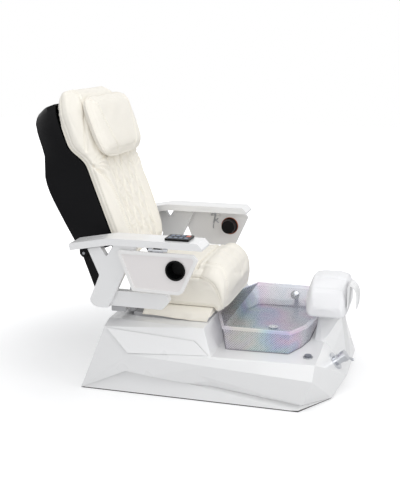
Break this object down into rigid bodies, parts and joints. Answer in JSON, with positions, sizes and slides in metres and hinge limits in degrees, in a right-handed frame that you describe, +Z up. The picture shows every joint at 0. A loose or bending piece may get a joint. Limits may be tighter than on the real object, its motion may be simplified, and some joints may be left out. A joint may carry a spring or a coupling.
{
  "type": "pedicure spa chair",
  "caption": "Reclining, sliding salon chair with lifting arms and flip-out cup trays on a faceted foot-bath base with a clear bowl.",
  "frame": {"origin": "on the floor under the middle of the chair, on its plane of symmetry", "axes": "+X from the seat towards the foot bath, +Y to the sitter's left, +Z up"},
  "size_m": [1.4865, 0.961, 1.3022],
  "materials": {
    "white_shell": "gloss",
    "clear_bowl": "gloss",
    "chrome_fittings": "polished",
    "button_grey": "gloss",
    "pump_paint": "satin",
    "pipe_grey": "matte",
    "bright_steel": "brushed",
    "black_steel": "satin",
    "black_plastic": "satin",
    "cream_leather": "satin",
    "roller_rubber": "matte",
    "key_blue": "satin",
    "key_orange": "satin"
  },
  "bodies": {
    "base": {"lower_base": "white_shell", "base_shell": "white_shell", "side_panel_right": "white_shell", "side_panel_left": "white_shell", "seat_rails": "black_steel", "tub": "clear_bowl", "tub_drain": "chrome_fittings", "fill_spout": "chrome_fittings", "tap_body": "chrome_fittings", "button_bezel": "chrome_fittings", "bath_pump": "pump_paint", "drain_pipe": "pipe_grey", "supply_pipes": "pipe_grey"},
    "tap_lever": {"tap_lever": "chrome_fittings"},
    "air_button": {"air_button": "button_grey"},
    "footrest_post": {"footrest_post": "bright_steel"},
    "footrest": {"footrest_head": "black_plastic", "footrest_pad": "white_shell", "footrest_wing": "white_shell"},
    "seat": {"carriage_frame": "black_steel", "seat_pan": "black_plastic", "seat_cushion": "cream_leather", "seat_skirt": "cream_leather", "strut_right": "white_shell", "strut_left": "white_shell", "lower_bar_right": "white_shell", "lower_bar_left": "white_shell", "upright_right": "black_steel", "upright_left": "black_steel", "back_pivot_pins": "bright_steel", "arm_pin_right": "bright_steel", "arm_pin_left": "bright_steel"},
    "back": {"back_shell": "black_plastic", "back_frame": "black_steel", "back_pad": "cream_leather", "pillow": "cream_leather", "massage_rails": "bright_steel"},
    "massage_carriage": {"roller_carriage": "black_plastic"},
    "upper_rollers": {"upper_rollers": "roller_rubber"},
    "lower_rollers": {"lower_rollers": "roller_rubber"},
    "armrest_right": {"armrest_right": "white_shell", "keypad_housing": "black_plastic", "tray_hinge_right": "chrome_fittings"},
    "armrest_left": {"armrest_left": "white_shell", "tray_hinge_left": "chrome_fittings"},
    "tray_right": {"tray_right": "white_shell", "tray_leaf_right": "chrome_fittings", "cup_holder_right": "black_plastic"},
    "tray_left": {"tray_left": "white_shell", "tray_leaf_left": "chrome_fittings", "cup_holder_left": "black_plastic"},
    "key_1": {"key_1": "key_blue"},
    "key_2": {"key_2": "key_blue"},
    "key_3": {"key_3": "key_blue"},
    "key_4": {"key_4": "key_blue"},
    "key_5": {"key_5": "key_blue"},
    "key_6": {"key_6": "key_blue"},
    "key_7": {"key_7": "key_blue"},
    "key_8": {"key_8": "key_orange"}
  },
  "joints": [
    {"name": "tap_turn", "type": "hinge", "parent": "base", "child": "tap_lever", "pos_m": [0.645, -0.197, 0.13717], "axis": [0.802, 0, 0.5973], "range_deg": [-45, 45]},
    {"name": "air_button_press", "type": "slide", "parent": "base", "child": "air_button", "axis": [0.0203, 0, -0.9998], "range_m": [0, 0.004], "stiffness_N_per_m": 900, "springref_m": -0.003},
    {"name": "footrest_height", "type": "slide", "parent": "base", "child": "footrest_post", "axis": [0, 0, 1], "range_m": [0, 0.08]},
    {"name": "footrest_swivel", "type": "hinge", "parent": "footrest_post", "child": "footrest", "pos_m": [0.602, 0, 0.3013], "axis": [0, 0, 1], "range_deg": [-45, 45]},
    {"name": "seat_slide", "type": "slide", "parent": "base", "child": "seat", "axis": [1, 0, 0], "range_m": [-0.12, 0]},
    {"name": "back_recline", "type": "hinge", "parent": "seat", "child": "back", "pos_m": [-0.28939, 0, 0.43795], "axis": [0, -1, 0], "range_deg": [-8, 25]},
    {"name": "massage_travel", "type": "slide", "parent": "back", "child": "massage_carriage", "axis": [-0.342, 0, 0.9397], "range_m": [0, 0.36]},
    {"name": "upper_rollers_spin", "type": "hinge", "parent": "massage_carriage", "child": "upper_rollers", "pos_m": [-0.42651, 0, 0.73284], "axis": [0, 1, 0], "continuous": true},
    {"name": "lower_rollers_spin", "type": "hinge", "parent": "massage_carriage", "child": "lower_rollers", "pos_m": [-0.40941, 0, 0.68585], "axis": [0, 1, 0], "continuous": true},
    {"name": "armrest_right_lift", "type": "hinge", "parent": "seat", "child": "armrest_right", "pos_m": [-0.445, -0.3784, 0.6], "axis": [0, -1, 0], "range_deg": [0, 80]},
    {"name": "tray_right_flip", "type": "hinge", "parent": "armrest_right", "child": "tray_right", "pos_m": [-0.078, -0.468, 0.652], "axis": [-1, 0, 0], "range_deg": [0, 90]},
    {"name": "armrest_left_lift", "type": "hinge", "parent": "seat", "child": "armrest_left", "pos_m": [-0.445, 0.3784, 0.6], "axis": [0, -1, 0], "range_deg": [0, 80]},
    {"name": "tray_left_flip", "type": "hinge", "parent": "armrest_left", "child": "tray_left", "pos_m": [-0.078, 0.468, 0.652], "axis": [1, 0, 0], "range_deg": [0, 90]},
    {"name": "key_1_press", "type": "slide", "parent": "armrest_right", "child": "key_1", "axis": [0, 0, -1], "range_m": [0, 0.0012], "stiffness_N_per_m": 400, "springref_m": -0.002},
    {"name": "key_2_press", "type": "slide", "parent": "armrest_right", "child": "key_2", "axis": [0, 0, -1], "range_m": [0, 0.0012], "stiffness_N_per_m": 400, "springref_m": -0.002},
    {"name": "key_3_press", "type": "slide", "parent": "armrest_right", "child": "key_3", "axis": [0, 0, -1], "range_m": [0, 0.0012], "stiffness_N_per_m": 400, "springref_m": -0.002},
    {"name": "key_4_press", "type": "slide", "parent": "armrest_right", "child": "key_4", "axis": [0, 0, -1], "range_m": [0, 0.0012], "stiffness_N_per_m": 400, "springref_m": -0.002},
    {"name": "key_5_press", "type": "slide", "parent": "armrest_right", "child": "key_5", "axis": [0, 0, -1], "range_m": [0, 0.0012], "stiffness_N_per_m": 400, "springref_m": -0.002},
    {"name": "key_6_press", "type": "slide", "parent": "armrest_right", "child": "key_6", "axis": [0, 0, -1], "range_m": [0, 0.0012], "stiffness_N_per_m": 400, "springref_m": -0.002},
    {"name": "key_7_press", "type": "slide", "parent": "armrest_right", "child": "key_7", "axis": [0, 0, -1], "range_m": [0, 0.0012], "stiffness_N_per_m": 400, "springref_m": -0.002},
    {"name": "key_8_press", "type": "slide", "parent": "armrest_right", "child": "key_8", "axis": [0, 0, -1], "range_m": [0, 0.0012], "stiffness_N_per_m": 400, "springref_m": -0.002}
  ]
}
